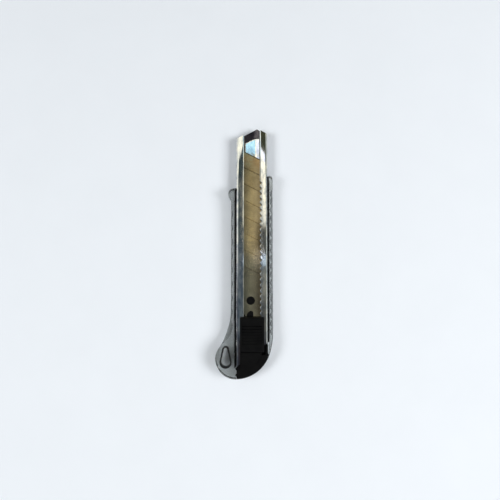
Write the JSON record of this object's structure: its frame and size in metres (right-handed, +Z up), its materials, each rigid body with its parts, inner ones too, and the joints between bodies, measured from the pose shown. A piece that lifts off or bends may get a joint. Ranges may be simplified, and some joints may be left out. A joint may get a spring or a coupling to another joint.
{
  "type": "snap-off knife",
  "caption": "Snap-off utility knife with a clear handle, folded steel channel, sliding scored blade, ratchet lock and removable end cap.",
  "frame": {"origin": "centre of the bounding box at the flat underside", "axes": "+Y along the knife towards the blade tip, +Z up from the underside through the thumb knob, +X towards the ratchet side"},
  "size_m": [0.034, 0.1505, 0.0112],
  "materials": {
    "clear_plastic": "glossy",
    "stainless": "polished",
    "blade_steel": "satin",
    "spring_steel": "satin",
    "black_acetal": "satin",
    "black_abs": "satin"
  },
  "bodies": {
    "root": {"handle": "clear_plastic", "channel_liner": "black_abs", "blade_channel": "stainless"},
    "carriage": {"blade_carrier": "black_acetal", "blade": "blade_steel"},
    "knob": {"slider_knob": "black_abs"},
    "lock": {"lock_spring": "spring_steel"},
    "cap": {"end_cap": "black_abs"}
  },
  "joints": [
    {"name": "blade_slide", "type": "slide", "parent": "root", "child": "carriage", "axis": [0, 1, 0], "range_m": [0, 0.08]},
    {"name": "knob_press", "type": "slide", "parent": "carriage", "child": "knob", "axis": [0, 1, 0], "range_m": [0, 0.0015], "stiffness_N_per_m": 800},
    {"name": "lock_release", "type": "slide", "parent": "carriage", "child": "lock", "axis": [-1, 0, 0], "range_m": [0, 0.0009]},
    {"name": "cap_pull", "type": "slide", "parent": "root", "child": "cap", "axis": [0, -1, 0], "range_m": [0, 0.025]}
  ],
  "couplings": [
    {"joint": "lock_release", "follows": "knob_press", "ratio": 0.6}
  ]
}
